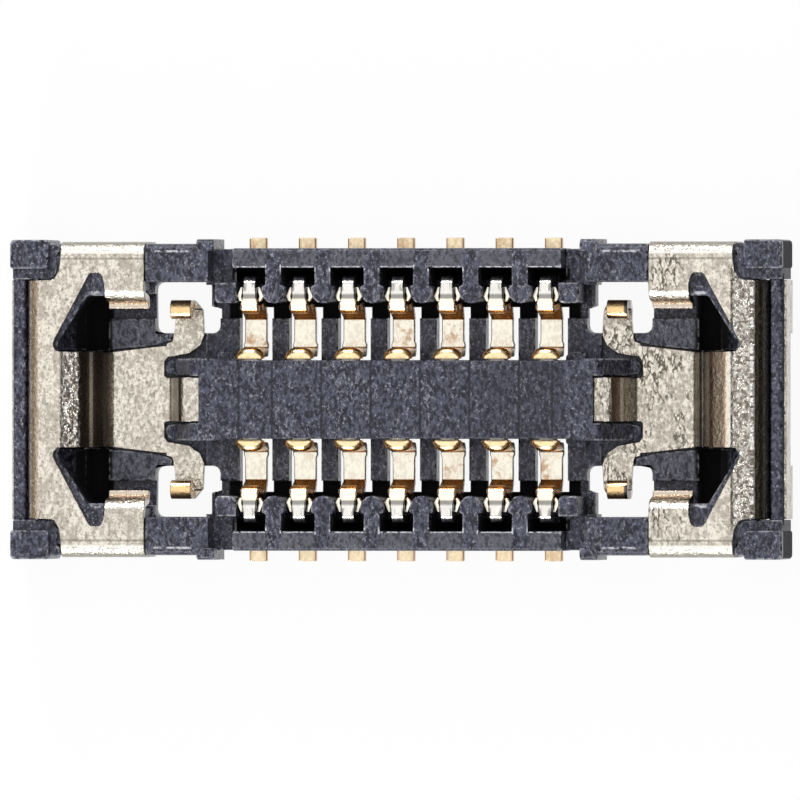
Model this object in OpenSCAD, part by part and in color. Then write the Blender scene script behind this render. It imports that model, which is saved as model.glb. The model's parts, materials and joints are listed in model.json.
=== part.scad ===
// Receptacle of a low stacking height board-to-board pair.
// A moulded housing holds two rows of folded contacts, and a drawn metal shell closes each end.
// Lengths are in millimetres. X runs along the rows, Z points away from the circuit board at Z = 0.

/* [Contacts] */
// Contacts in each of the two rows
contact_count = 7; // [3:1:30]
// Distance between neighbouring contacts
contact_pitch = 0.35; // [0.34:0.01:0.5]
// Thickness of the contact sheet
contact_t = 0.06; // [0.04:0.005:0.07]
// Width of the soldered tail
tail_w = 0.125; // [0.09:0.005:0.15]
// Distance of the tail's end from the middle plane
tail_reach = 1.14; // [1.1:0.01:1.4]
// Width of the loop at its top
loop_w = 0.1; // [0.08:0.005:0.12]
// Length of the barbs that grip the ribs
barb_l = 0.09; // [0.04:0.005:0.1]
// Width of the belly below the loop's nose
belly_w = 0.173; // [0.12:0.001:0.175]
// Top of the loop above the board
loop_top = 0.51; // [0.46:0.01:0.53]
// Width of the strip on the floor of the channel
strip_w = 0.157; // [0.12:0.001:0.17]
// Width of the spring's rounded head
head_w = 0.175; // [0.15:0.005:0.18]
// Top of the spring's head above the board
head_top = 0.5; // [0.42:0.01:0.55]

/* [Housing] */
// Gap between the board and the underside of the housing
stand_off = 0.02; // [0.01:0.005:0.03]
// Top of the channel floor above the board
floor_top = 0.18; // [0.16:0.005:0.22]
// Top of the long walls above the board
wall_top = 0.55; // [0.53:0.01:0.57]
// Top of the island and of the corner posts, which is the overall height
body_h = 0.6; // [0.59:0.01:0.7]
// Width of the island
island_w = 0.554; // [0.5:0.002:0.56]
// Width over the long walls
body_w = 2.128; // [2.1:0.002:2.16]
// Thickness of the long walls
wall_t = 0.138; // [0.1:0.002:0.15]
// Length of the ribs between the contacts, measured across the rows
rib_l = 0.249; // [0.24:0.001:0.26]
// Thickness of the ribs
rib_t = 0.113; // [0.09:0.001:0.12]
// Thickness of the ribs where the barbs grip them
grip_t = 0.165; // [0.15:0.001:0.17]
// Plastic beside the last contact, measured from its middle
row_land = 0.117; // [0.115:0.001:0.13]
// Length of the dip between the long wall and the side block
dip_l = 0.17; // [0.14:0.005:0.25]
// Length of the side block
side_block_l = 0.452; // [0.44:0.002:0.5]
// Length from the side block to the end of the housing
end_l = 0.95; // [0.94:0.005:1.0]
// Length of a corner post along the rows
post_l = 0.274; // [0.2:0.002:0.28]
// Width of a corner post across the rows
post_w = 0.204; // [0.15:0.002:0.21]
// Distance of a post's outer face from the middle plane
post_reach = 1.124; // [1.115:0.001:1.2]
// Thickness of the rim outside the end shell
rim_t = 0.095; // [0.08:0.001:0.1]
// Top of that rim above the board
rim_top = 0.49; // [0.4:0.01:0.5]

/* [End shell] */
// Thickness of the shell's sheet
shell_t = 0.06; // [0.05:0.002:0.064]
// Top of the shell above the board
shell_top = 0.57; // [0.56:0.005:0.58]
// Width over the shell's side flanges
shell_w = 2.22; // [2.2:0.005:2.24]
// Width of a side flange, from its outer face to its rolled inner edge
flange_w = 0.465; // [0.4:0.005:0.48]
// Length of a side flange's rolled inner edge
roll_l = 0.285; // [0.25:0.005:0.3]
// Width of the slope and of the plate on the floor
plate_w = 0.68; // [0.6:0.005:0.7]
// Length of the plate on the floor
plate_l = 0.455; // [0.44:0.005:0.47]
// Length of the slope between the plate and the flat top
slope_l = 0.26; // [0.2:0.005:0.27]
// Width of the tab that laps onto the island
tab_w = 0.31; // [0.2:0.005:0.31]
// Width of a spring finger at its root
finger_w = 0.22; // [0.18:0.005:0.24]
// Width of a spring finger at its tip
finger_tip_w = 0.145; // [0.1:0.005:0.17]
// Distance of a finger's tip from the middle plane
finger_reach = 0.7; // [0.68:0.005:0.72]
// Top of a finger's curl above the board
finger_top = 0.45; // [0.35:0.01:0.5]
// How far the end apron stands proud of the housing
apron_out = 0.01; // [0.005:0.001:0.02]
// Top of the end apron above the board
apron_top = 0.43; // [0.3:0.01:0.43]
// Width of the notch between the apron's two solder feet
notch_w = 0.93; // [0.6:0.01:1.2]

/* [Hidden] */

black_plastic = "#2c2d33";
gold_plate = "#d9b978";
bright_shell = "#c4b6a2";

// Flat steps in a quarter turn of a bend or rounded corner, which each bend rounds up, and of the
// shells' larger bends
quarter_steps = 2.6;
shell_steps = 4;
// Flat steps round the root of a finger
root_steps = 3;
// Play round a piece that is moulded in
fit = 0.006;
// Overreach of a cut past the surface that it opens
over = 0.05;

// Stations along the rows, from the middle outwards
x_row = (contact_count - 1) * contact_pitch / 2;
x_land = x_row + row_land;
x_block = x_land + dip_l;
x_flange = x_block + side_block_l;
x_end = x_flange + end_l;
x_wall = x_end - rim_t;
x_corner = x_end - post_l - 0.05;

// Stations across the rows, from the middle outwards
y_island = island_w / 2;
y_rim = body_w / 2;
y_pocket = y_rim - wall_t;
y_rib = y_pocket - rib_l;
y_shell = shell_w / 2;
y_roll = y_shell - flange_w;

function unit(v) = v / norm(v);
function left_of(v) = [-v[1], v[0]];
function turned(v, a) = [v[0] * cos(a) - v[1] * sin(a), v[0] * sin(a) + v[1] * cos(a)];
function turn_between(u, w) = atan2(u[0] * w[1] - u[1] * w[0], u * w);

// Points and left-hand normals along the arc that rounds corner b of the path a, b, c
function bend(a, b, c, r, q) =
    let (
        u = unit(b - a),
        w = unit(c - b),
        turn = turn_between(u, w),
        side = turn < 0 ? -1 : 1,
        start = b - u * r * tan(abs(turn) / 2),
        middle = start + left_of(u) * side * r,
        steps = max(2, ceil(q * abs(turn) / 90))
    )
    [for (k = [0 : steps])
        let (n = turned(left_of(u), turn * k / steps))
        [middle - n * side * r, n]
    ];

// A path of [x, y, bend radius] corners as points and normals
function stations(path, q) =
    let (
        p = [for (c = path) [c[0], c[1]]],
        last = len(p) - 1
    )
    concat(
        [[p[0], left_of(unit(p[1] - p[0]))]],
        [for (i = [1 : last - 1]) each bend(p[i - 1], p[i], p[i + 1], path[i][2], q)],
        [[p[last], left_of(unit(p[last] - p[last - 1]))]]
    );

// Outline of a sheet of thickness t that follows a path
function sheet_outline(path, t, q = quarter_steps) =
    let (s = stations(path, q), last = len(s) - 1)
    concat(
        [for (point = s) point[0] + point[1] * t / 2],
        [for (i = [0 : last]) s[last - i][0] - s[last - i][1] * t / 2]
    );

// Closed outline whose [x, y, radius] corners are rounded, where a radius of 0 stays sharp
function rounded(path) =
    let (p = [for (c = path) [c[0], c[1]]], n = len(p))
    [for (i = [0 : n - 1])
        each path[i][2] > 0
            ? [for (s = bend(p[(i + n - 1) % n], p[i], p[(i + 1) % n], path[i][2], quarter_steps)) s[0]]
            : [p[i]]
    ];

// Solid whose outline lies in the plane across the rows and that runs from x0 to x1
module along_x(x0, x1) {
    translate([x0, 0, 0]) rotate([90, 0, 90]) linear_extrude(x1 - x0) children();
}

// Solid whose outline lies in the plane along the rows and that runs from y0 to y1
module along_y(y0, y1) {
    translate([0, y1, 0]) rotate([90, 0, 0]) linear_extrude(y1 - y0) children();
}

// Solid with a plan outline that runs from z0 to z1
module upright(z0, z1) {
    translate([0, 0, z0]) linear_extrude(z1 - z0) children();
}

// Rectangle between two corners
module field(x0, y0, x1, y1) {
    translate([x0, y0]) square([x1 - x0, y1 - y0]);
}

module both_sides() {
    children();
    mirror([0, 1, 0]) children();
}

module both_ends() {
    children();
    mirror([1, 0, 0]) children();
}

// One contact, cut from a folded strip. The tail points to +Y, and its middle is at X = 0

// Middle of the leg that rises behind the ribs
y_leg = y_pocket - 0.083;
// Inner face of the loop's nose, middle of the belly below it and its foot on the channel floor
y_nose = y_rib - 0.074;
y_belly = y_rib - 0.005;
y_drop = y_rib - 0.092;
// Middle of the spring's rising part
y_spring = y_island + 0.048;
// Underside of the strip on the channel floor
strip_z = 0.105;
// Height at which the plan outline changes from the lower one to the upper one
split_z = 0.4;
// Underside and top of the barbs
barb_z = 0.41;
barb_top = 0.46;

function contact_path() = [
    [tail_reach, contact_t / 2],
    [y_leg, contact_t / 2, 0.045],
    [y_leg, loop_top - contact_t / 2, 0.055],
    [y_nose + contact_t / 2, loop_top - contact_t / 2, 0.04],
    [y_belly, 0.3, 0.06],
    [y_drop, strip_z + contact_t / 2, 0.045],
    [y_spring + 0.004, strip_z + contact_t / 2, 0.05],
    [y_spring + 0.016, head_top - contact_t, 0.045],
    [y_island + 0.008, head_top - contact_t / 2 + 0.012]
];

// Half of the plan outline above split_z, mirrored about X = 0 by the module that draws it
function upper_half() = [
    [0, y_island + 0.004],
    [head_w / 2 - 0.04, y_island + 0.004],
    [head_w / 2 - 0.012, y_island + 0.024],
    [head_w / 2, y_island + 0.06],
    [head_w / 2, y_island + 0.11],
    [0.06, y_nose - 0.03],
    [0.06, y_nose + 0.05],
    [loop_w / 2, y_nose + 0.12],
    [loop_w / 2, y_pocket],
    [0, y_pocket]
];

function lower_half() = [
    [0, y_island - over],
    [head_w / 2, y_island - over],
    [head_w / 2, y_island + 0.095],
    [strip_w / 2, y_island + 0.12],
    [strip_w / 2, y_drop - 0.03],
    [belly_w / 2, y_drop],
    [belly_w / 2, y_belly + 0.04],
    [tail_w / 2, y_belly + 0.06],
    [tail_w / 2, tail_reach + over],
    [0, tail_reach + over]
];

// Barb on one side of the loop, which bites where the rib is thick
function barb() = [
    [0, y_rib + 0.02],
    [grip_half, y_rib + 0.02],
    [grip_half, y_rib + 0.02 + barb_l * 0.3],
    [loop_w / 2 + 0.01, y_rib + 0.02 + barb_l],
    [0, y_rib + 0.02 + barb_l]
];

function both_halves(half) =
    let (n = len(half))
    concat(half, [for (i = [1 : n]) [-half[n - i][0], half[n - i][1]]]);

module contact() {
    color(gold_plate) {
        intersection() {
            along_x(-contact_pitch / 2, contact_pitch / 2) polygon(sheet_outline(contact_path(), contact_t));
            union() {
                upright(-over, split_z) polygon(both_halves(lower_half()));
                upright(split_z, body_h) polygon(both_halves(upper_half()));
            }
        }
        upright(barb_z, barb_top) polygon(both_halves(barb()));
    }
}

// Places the contact of a row. Side is 1 for the row at +Y and -1 for the row at -Y
module contact_at(i, side) {
    translate([-x_row + (i - 1) * contact_pitch, 0, 0]) mirror([0, side < 0 ? 1 : 0, 0]) contact();
}

// Right-hand end shell

// Underside of the plate that lies in the housing floor
plate_z = 0.13;
x_plate_in = x_flange - 0.155;
x_plate_out = x_plate_in + plate_l;
x_top_in = x_plate_out + slope_l;
y_plate = plate_w / 2;
// Groove between the shell and the rim
rim_gap = 0.018;
// Middle of the sheet that goes down inside the rim, and of the apron outside it
x_shell_wall = x_wall - rim_gap - shell_t / 2;
x_apron = x_end + apron_out - shell_t / 2;
shell_mid = shell_top - shell_t / 2;
plate_mid = plate_z + shell_t / 2;
tab_top = shell_top - 0.02;
// Half-width of the end wall
y_end = 0.84;
// Inner end of the flange's roll and start of the corner block
x_roll = x_flange + roll_l;
x_flange_end = x_corner - 0.03;
// Height of the notch between the solder feet
notch_h = 0.2;
// Inner face of the claw and the island's flare at its end
y_claw = tab_w / 2 + 2 * fit;
flare = 0.011;
// Hole round a finger: its nearest and farthest edge from the middle plane
y_hole = y_island + 0.191;
y_hole_out = y_pocket - 0.1;
// Middle of the finger's fold
y_fold = finger_reach - shell_t / 2;

// Slope, floor plate and tab in one section, from the flat top to the island
function cup_path() = [
    [x_shell_wall - 0.14, shell_mid],
    [x_top_in, shell_mid, 0.08],
    [x_top_in - 0.11, shell_mid - 0.055, 0.06],
    [x_top_in - 0.165, plate_mid + 0.19, 0.05],
    [x_plate_out + 0.055, plate_mid + 0.15, 0.05],
    [x_plate_out, plate_mid, 0.06],
    [x_plate_in, plate_mid, 0.05],
    [x_plate_in - 0.115, tab_top - shell_t / 2, 0.05],
    [x_plate_in - 0.235, tab_top - shell_t / 2]
];

// Flat top, end wall, fold under the rim and apron in one section
function end_path() = [
    [x_shell_wall - 0.15, shell_mid],
    [x_shell_wall, shell_mid, 0.07],
    [x_shell_wall, shell_t / 2, 0.05],
    [x_apron, shell_t / 2, 0.05],
    [x_apron, apron_top]
];

// Side flange in one section, from its flared lip over the top to its solder edge
function flange_path() = [
    [y_roll, shell_top - 0.27],
    [y_roll + 0.058, shell_top - 0.26, 0.04],
    [y_roll + 0.09, shell_mid, 0.08],
    [y_shell - shell_t / 2, shell_mid, 0.07],
    [y_shell - shell_t / 2, 0]
];

// Flat top of the shell, which ties the flanges to the end wall round the two openings
function top_outline() = [
    [x_roll - 0.02, y_shell - 0.11, 0],
    [x_roll - 0.02, y_roll + 0.165, 0],
    [x_roll, y_roll + 0.165, 0],
    [x_roll + 0.022, y_shell - 0.217, 0.04],
    [x_roll + 0.1, y_shell - 0.217, 0.035],
    [x_shell_wall - 0.145, y_plate + 0.035, 0.055],
    [x_top_in + 0.03, y_plate - 0.02, 0],
    [x_top_in + 0.06, -over, 0],
    [x_shell_wall - 0.13, -over, 0],
    [x_shell_wall - 0.13, y_end, 0],
    [x_corner + 0.015, y_end + 0.01, 0],
    [x_corner - 0.02, y_end + 0.07, 0],
    [x_flange_end, y_shell - 0.11, 0]
];

// Plan outline of the slope, floor plate and tab on one side, notched round the island's claw
function plate_half() = [
    [x_shell_wall, -over],
    [x_shell_wall, y_plate],
    [x_plate_out, y_plate - 0.006],
    [x_flange, y_plate + 0.03],
    [x_plate_in + 0.04, y_plate + 0.04],
    [x_plate_in + 0.04, y_island + flare + 0.01],
    [x_plate_in + 0.064, y_island - 0.01],
    [x_plate_in + 0.064, y_claw],
    [x_plate_in + 0.05, tab_w / 2],
    [x_plate_in - 0.3, tab_w / 2],
    [x_plate_in - 0.3, -over]
];

// Root of a finger on the floor plate, with the hollow that clears the island's claw
function finger_root() = concat(
    [
        [x_plate_in + 0.06, y_plate - 0.02],
        [x_plate_in + 0.05, y_plate + 0.055],
        [x_plate_in + 0.01, y_plate + 0.07],
        [x_plate_in, y_plate + 0.11],
        [x_plate_in, y_hole],
        [x_plate_in - finger_w, y_hole]
    ],
    [for (k = [0 : root_steps])
        let (turn = 90 * k / root_steps)
        [x_plate_in - finger_w * cos(turn), y_island + flare + 0.015 + 0.15 * (1 - sin(turn))]
    ],
    [[x_plate_in + 0.06, y_island + flare + 0.01]]
);

// Finger in one section: along the floor, up, over and down again on the inner side
function finger_path() = [
    [y_hole - 0.02, plate_mid],
    [y_fold, plate_mid, 0.045],
    [y_fold, finger_top - shell_t / 2, 0.034],
    [y_fold - 0.074, finger_top - shell_t / 2, 0.034],
    [y_fold - 0.07, finger_top - 0.13]
];

module shell_finger() {
    x_tip = x_plate_in - finger_tip_w / 2 - 0.012;
    upright(plate_z, plate_z + shell_t) polygon(finger_root());
    intersection() {
        along_x(x_plate_in - finger_w, x_plate_in) polygon(sheet_outline(finger_path(), shell_t));
        union() {
            // Floor run, which narrows as it nears the fold
            upright(0, plate_z + 0.1) polygon([
                [x_plate_in - finger_w, y_hole - over],
                [x_plate_in, y_hole - over],
                [x_tip + finger_tip_w / 2, y_hole + 0.09],
                [x_tip + finger_tip_w / 2, finger_reach],
                [x_tip - finger_tip_w / 2, finger_reach],
                [x_plate_in - finger_w + 0.01, y_hole + 0.16]
            ]);
            upright(plate_z + 0.1, body_h)
                field(x_tip - finger_tip_w / 2, y_hole, x_tip + finger_tip_w / 2, finger_reach);
        }
    }
}

module end_shell() {
    color(bright_shell) {
        // Slope and floor plate, with the tab cut from the same section
        intersection() {
            along_y(-y_plate - over, y_plate + over) polygon(sheet_outline(cup_path(), shell_t, shell_steps));
            upright(0, body_h) both_sides() polygon(plate_half());
        }
        // End wall and apron, with the notch between the two solder feet
        difference() {
            along_y(-y_end, y_end) polygon(sheet_outline(end_path(), shell_t, shell_steps));
            upright(-over, notch_h) field(x_wall + 0.01, -notch_w / 2, x_end + over, notch_w / 2);
        }
        both_sides() {
            upright(shell_top - shell_t, shell_top) polygon(rounded(top_outline()));
            shell_finger();
            // Rolled flange, then the plain outer bend that runs on to the corner
            along_x(x_flange, x_roll) polygon(sheet_outline(flange_path(), shell_t, shell_steps));
            along_x(x_flange, x_flange_end) polygon(sheet_outline([
                [y_shell - 0.14, shell_mid],
                [y_shell - shell_t / 2, shell_mid, 0.07],
                [y_shell - shell_t / 2, 0]
            ], shell_t, shell_steps));
        }
    }
}

// Housing

// Half-width of the through slot round a contact, and its outer end
slot_half = 0.115;
y_slot = y_rib - 0.027;
// Half-width of the pocket behind the barbs
pocket_half = contact_pitch / 2 - rib_t / 2;
// Half the distance between the ribs where the barbs grip them
grip_half = contact_pitch / 2 - grip_t / 2;
// Edge of the channel floor
y_trench = y_rib - 0.105;
// Top of the trench between the channel floor and the ribs
trench_top = 0.09;
// End of the floor slab, inside the filling under the slope
x_slab = x_end - 0.3;
// Start of the claw, inside the island
x_claw = x_block - 0.12;
// Underside of the shell's flat top, on which the filling ends
fill_top = shell_top - shell_t;
// Top of the plastic below the dip at each end of a row
dip_top = wall_top - 0.25;

// Rib between two contacts, thick where the barbs grip it and rounded towards the island
function rib_outline() = [
    [rib_t / 2, y_pocket + over, 0],
    [rib_t / 2, y_rib + 0.13, 0],
    [grip_t / 2, y_rib + 0.115, 0],
    [grip_t / 2, y_rib, grip_t / 2 - 0.002],
    [-grip_t / 2, y_rib, grip_t / 2 - 0.002],
    [-grip_t / 2, y_rib + 0.115, 0],
    [-rib_t / 2, y_rib + 0.13, 0],
    [-rib_t / 2, y_pocket + over, 0]
];

// Section of the long wall, with the round edge over the pockets
function wall_outline() = [
    [y_pocket, stand_off, 0],
    [y_rim, stand_off, 0],
    [y_rim, wall_top - 0.02, 0.03],
    [y_rim - 0.02, wall_top, 0.015],
    [y_pocket, wall_top, 0.035]
];

// Section along the rows of the claw on each side of the tab
function claw_outline() = [
    [x_claw, stand_off, 0],
    [x_plate_in + 0.056, stand_off, 0],
    [x_plate_in + 0.056, floor_top + 0.03, 0.02],
    [x_plate_in - 0.01, floor_top + 0.045, 0.04],
    [x_plate_in - 0.19, body_h, 0.06],
    [x_claw, body_h, 0]
];

module island() {
    x_top = x_plate_in - 0.235;
    along_x(-x_top, x_top) polygon(rounded([
        [-y_island, stand_off, 0],
        [y_island, stand_off, 0],
        [y_island, body_h, 0.02],
        [-y_island, body_h, 0.02]
    ]));
    both_ends() {
        both_sides() {
            // Claw beside the tab, flared a little where it leaves the island
            intersection() {
                along_y(y_claw, y_island + flare) polygon(rounded(claw_outline()));
                upright(0, body_h) polygon(rounded([
                    [x_claw, y_claw - over, 0],
                    [x_plate_in + 0.02, y_claw - over, 0],
                    [x_plate_in + 0.056, y_claw + 0.01, 0.03],
                    [x_plate_in + 0.056, y_island + flare, 0.05],
                    [x_block - 0.03, y_island + flare, 0.05],
                    [x_claw, y_island - 0.005, 0]
                ]));
            }
            // Foot of the island where the row ends
            upright(stand_off, floor_top + 0.1) polygon([
                [x_row + slot_half, y_island - over],
                [x_row + slot_half, y_island + 0.03],
                [x_row + slot_half + 0.05, y_island + 0.06],
                [x_block - 0.03, y_island + 0.06],
                [x_block - 0.03, y_island - over]
            ]);
        }
        // Seat under the tab
        along_y(-y_claw - fit, y_claw + fit) polygon([
            [x_top - 0.02, stand_off],
            [x_plate_in - 0.06, stand_off],
            [x_plate_in - 0.06, plate_z + 0.05],
            [x_plate_in - 0.16, tab_top - shell_t - 0.035],
            [x_plate_in - 0.185, tab_top - shell_t],
            [x_top - 0.02, tab_top - shell_t]
        ]);
    }
}

module contact_row() {
    for (i = [1 : contact_count - 1])
        translate([-x_row - contact_pitch / 2 + i * contact_pitch, 0, 0])
            upright(stand_off, wall_top - 0.002) polygon(rounded(rib_outline()));
    along_x(-x_land, x_land) polygon(rounded(wall_outline()));
    // Thick rib past each end of the row, lower than the wall behind it
    both_ends() {
        upright(stand_off, wall_top - 0.03) polygon(rounded([
            [x_row + grip_half, y_rib, 0.035],
            [x_block - 0.045, y_rib, 0.03],
            [x_block - 0.045, y_rib + 0.145, 0],
            [x_row + grip_half, y_rib + 0.145, 0]
        ]));
        upright(stand_off, dip_top) field(x_row + pocket_half, y_rib + 0.13, x_block + over, y_rim - 0.004);
    }
}

// Floor slab, pierced round each contact and each spring finger
module floor_slab() {
    difference() {
        upright(stand_off, floor_top) field(-x_slab, -y_pocket, x_slab, y_pocket);
        both_sides() {
            for (i = [0 : contact_count - 1])
                translate([-x_row + i * contact_pitch, 0, 0]) upright(0, body_h)
                    field(-slot_half, y_island, slot_half, y_slot);
            // Trench between the channel floor and the ribs, all along the row
            upright(trench_top, body_h) field(-x_block, y_trench, x_block, y_pocket);
            both_ends() {
                // Trench under the flange's lip, and the well at the foot of the slope
                upright(trench_top, body_h) field(x_flange - over, y_trench, x_plate_out + 0.1, y_roll + 0.1);
                upright(2 * stand_off, body_h)
                    field(x_plate_out + 0.01, y_plate + fit, x_plate_out + 0.17, y_roll + 0.1);
                // Hole round the finger
                upright(0, body_h) polygon(rounded([
                    [x_block - 0.033, y_hole, 0.05],
                    [x_flange - 0.024, y_hole, 0.05],
                    [x_flange - 0.019, y_hole_out, 0.05],
                    [x_block + 0.027, y_hole_out, 0.03],
                    [x_block + 0.027, y_hole + 0.19, 0],
                    [x_block - 0.033, y_hole + 0.17, 0]
                ]));
                // Bed of the floor plate and of the finger's root
                upright(plate_z, body_h) polygon([
                    [x_plate_in - finger_w - fit, y_island],
                    [x_plate_in - finger_w - fit, y_hole + over],
                    [x_plate_in + fit, y_hole + over],
                    [x_plate_in + fit, y_plate + 0.11 + fit],
                    [x_plate_in + 0.01 + fit, y_plate + 0.07 + fit],
                    [x_plate_in + 0.05 + fit, y_plate + 0.055 + fit],
                    [x_flange, y_plate + 0.03 + fit],
                    [x_plate_out + 0.1, y_plate - 0.006 + fit],
                    [x_plate_out + 0.1, -over],
                    [x_plate_in - 0.08, -over],
                    [x_plate_in - 0.08, y_island]
                ]);
            }
        }
    }
}

// Filling under the shell, side block, corner block and post of one quarter of the housing
module end_quarter() {
    // Filling under the rolled flange and, past it, under the shell's flat top
    along_x(x_flange + fit, x_roll + 0.02) polygon(rounded([
        [y_roll + 0.12, stand_off, 0],
        [y_shell - shell_t, stand_off, 0],
        [y_shell - shell_t, fill_top, 0.045],
        [y_roll + 0.12, fill_top, 0.06]
    ]));
    intersection() {
        along_x(x_roll, x_shell_wall - shell_t / 2) polygon(rounded([
            [y_plate - over, stand_off, 0],
            [y_shell - shell_t, stand_off, 0],
            [y_shell - shell_t, fill_top, 0.045],
            [y_plate - over, fill_top, 0]
        ]));
        along_y(y_plate - over, y_shell) polygon(rounded([
            [x_roll, stand_off, 0],
            [x_shell_wall - shell_t / 2, stand_off, 0],
            [x_shell_wall - shell_t / 2, fill_top, 0.06],
            [x_roll, fill_top, 0]
        ]));
        upright(0, body_h) polygon(rounded([
            [x_roll, y_roll + 0.085, 0],
            [x_roll + 0.13, y_roll + 0.085, 0.03],
            [x_shell_wall - 0.18, y_plate + 0.05, 0.03],
            [x_top_in + 0.03, y_plate - over, 0],
            [x_shell_wall, y_plate - over, 0],
            [x_shell_wall, y_end, 0],
            [x_flange_end, y_shell - 0.07, 0],
            [x_flange_end, y_shell, 0],
            [x_roll, y_shell, 0]
        ]));
    }
    // Ramp from that filling down to the well
    along_y(y_plate + fit, y_roll + 0.1) polygon([
        [x_plate_out + 0.16, stand_off],
        [x_shell_wall - 0.1, stand_off],
        [x_shell_wall - 0.1, shell_top - 0.12],
        [x_shell_wall - 0.17, shell_top - 0.12],
        [x_plate_out + 0.16, floor_top - 0.02]
    ]);
    // Side block
    along_x(x_block, x_flange - fit) polygon(rounded([
        [y_hole_out, stand_off, 0],
        [y_shell - 0.014, stand_off, 0],
        [y_shell - 0.014, shell_top - 0.01, 0.055],
        [y_hole_out, shell_top - 0.01, 0.02]
    ]));
    // Nub outside the side block
    along_x(x_block - 0.04, x_block + 0.087) polygon(rounded([
        [y_rim - 0.02, stand_off, 0],
        [post_reach + 0.004, stand_off, 0],
        [post_reach + 0.004, shell_top - 0.03, 0.04],
        [y_rim - 0.02, shell_top - 0.01, 0]
    ]));
    // Corner block and post
    upright(stand_off, rim_top + 0.04) polygon(rounded([
        [x_corner, y_end + 0.017, 0.07],
        [x_corner + 0.12, y_end + fit, 0],
        [x_end - 0.01, y_end + fit, 0],
        [x_end - 0.01, y_shell - 0.01, 0.02],
        [x_corner - 0.022, y_shell - 0.01, 0.02],
        [x_corner - 0.022, y_shell - 0.06, 0],
        [x_corner, y_shell - 0.09, 0]
    ]));
    upright(stand_off, body_h) polygon(rounded([
        [x_end - post_l, post_reach - post_w, 0.03],
        [x_end, post_reach - post_w, 0.02],
        [x_end, post_reach, 0.03],
        [x_end - post_l, post_reach, 0.02]
    ]));
}

module housing() {
    color(black_plastic) difference() {
        union() {
            floor_slab();
            island();
            both_sides() contact_row();
            both_ends() both_sides() end_quarter();
            both_ends() {
                // Rim between the shell's end wall and its apron, with an edge that covers the apron
                along_y(-y_end - over, y_end + over) polygon(rounded([
                    [x_wall - rim_gap, stand_off, 0],
                    [x_apron - shell_t / 2 - 0.002, stand_off, 0],
                    [x_apron - shell_t / 2 - 0.002, apron_top + fit, 0],
                    [x_end - 0.005, apron_top + fit, 0],
                    [x_end - 0.005, rim_top, 0.03],
                    [x_wall, rim_top, 0.02],
                    [x_wall, rim_top - 0.06, 0],
                    [x_wall - rim_gap, rim_top - 0.08, 0]
                ]));
                // Filling under the slope
                along_y(-y_plate, y_plate) polygon([
                    [x_plate_out - 0.05, stand_off],
                    [x_shell_wall - shell_t / 2, stand_off],
                    [x_shell_wall - shell_t / 2, fill_top - 0.06],
                    [x_shell_wall - 0.14, fill_top],
                    [x_top_in + 0.06, fill_top],
                    [x_plate_out + 0.07, plate_z],
                    [x_plate_out - 0.05, plate_z]
                ]);
            }
        }
        // Way down for the legs, and way out for the tails and for the shells' feet
        both_sides() for (i = [0 : contact_count - 1]) translate([-x_row + i * contact_pitch, 0, 0]) {
            upright(0, trench_top + over)
                field(-tail_w / 2 - fit, y_leg - contact_t / 2 - fit, tail_w / 2 + fit, y_leg + 0.051);
            upright(0, contact_t + fit) field(-tail_w / 2 - fit, y_leg, tail_w / 2 + fit, body_w);
        }
        both_ends() upright(0, shell_t + 4 * fit)
            field(x_shell_wall - shell_t, -y_end - fit, x_end + over, y_end + fit);
    }
}

housing();
for (i = [1 : contact_count]) {
    contact_at(i, 1);
    contact_at(i, -1);
}
mirror([1, 0, 0]) end_shell();  // end_shell_left
end_shell();  // end_shell_right
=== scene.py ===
"""Looks of a board-to-board receptacle: moulded housing, two rows of folded contacts, two end shells.

Pieces are shaped in millimetres and are brought to metres when they are finished.
"""

import json
import logging
import math
from collections.abc import Callable
from dataclasses import dataclass, field
from enum import Enum
from functools import reduce
from itertools import product

import bpy
from mathutils import Matrix, Vector

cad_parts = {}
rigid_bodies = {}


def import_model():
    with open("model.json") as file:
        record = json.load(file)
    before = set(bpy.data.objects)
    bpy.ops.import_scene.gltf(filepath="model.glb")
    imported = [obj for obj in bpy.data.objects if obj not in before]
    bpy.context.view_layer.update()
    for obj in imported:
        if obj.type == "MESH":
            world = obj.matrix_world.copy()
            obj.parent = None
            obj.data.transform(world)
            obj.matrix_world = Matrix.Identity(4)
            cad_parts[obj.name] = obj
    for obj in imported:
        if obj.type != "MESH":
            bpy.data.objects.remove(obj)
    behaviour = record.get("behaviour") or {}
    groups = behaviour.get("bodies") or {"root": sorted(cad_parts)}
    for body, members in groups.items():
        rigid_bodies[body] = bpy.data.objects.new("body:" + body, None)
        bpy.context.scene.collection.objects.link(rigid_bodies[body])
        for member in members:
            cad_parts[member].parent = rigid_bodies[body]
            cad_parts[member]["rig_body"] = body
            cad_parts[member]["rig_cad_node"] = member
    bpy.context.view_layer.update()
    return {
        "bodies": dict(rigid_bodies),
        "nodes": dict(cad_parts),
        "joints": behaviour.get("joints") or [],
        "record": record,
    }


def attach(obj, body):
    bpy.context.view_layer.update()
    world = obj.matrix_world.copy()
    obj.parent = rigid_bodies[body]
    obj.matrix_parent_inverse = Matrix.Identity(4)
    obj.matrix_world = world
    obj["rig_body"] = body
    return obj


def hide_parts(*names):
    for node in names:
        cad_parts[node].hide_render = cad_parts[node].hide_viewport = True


log = logging.getLogger("receptacle")

MM = 0.001
# The spacing of the contacts, in millimetres
PITCH = 0.35
# A limit that lies past every piece, in millimetres
FAR = 10.0
# Half the width of the soft change from the left end to the right one, in millimetres
END_SOFT = 0.1
# The share of the room beside an edge that its rounding takes
ROUNDING_SHARE = 0.42
# Corners of a CAD copy that lie nearer than this are merged, in millimetres
MERGE = 0.003
# Faces of a CAD copy that turn by less than this are joined, in degrees
FLAT_DEGREES = 0.8

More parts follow.
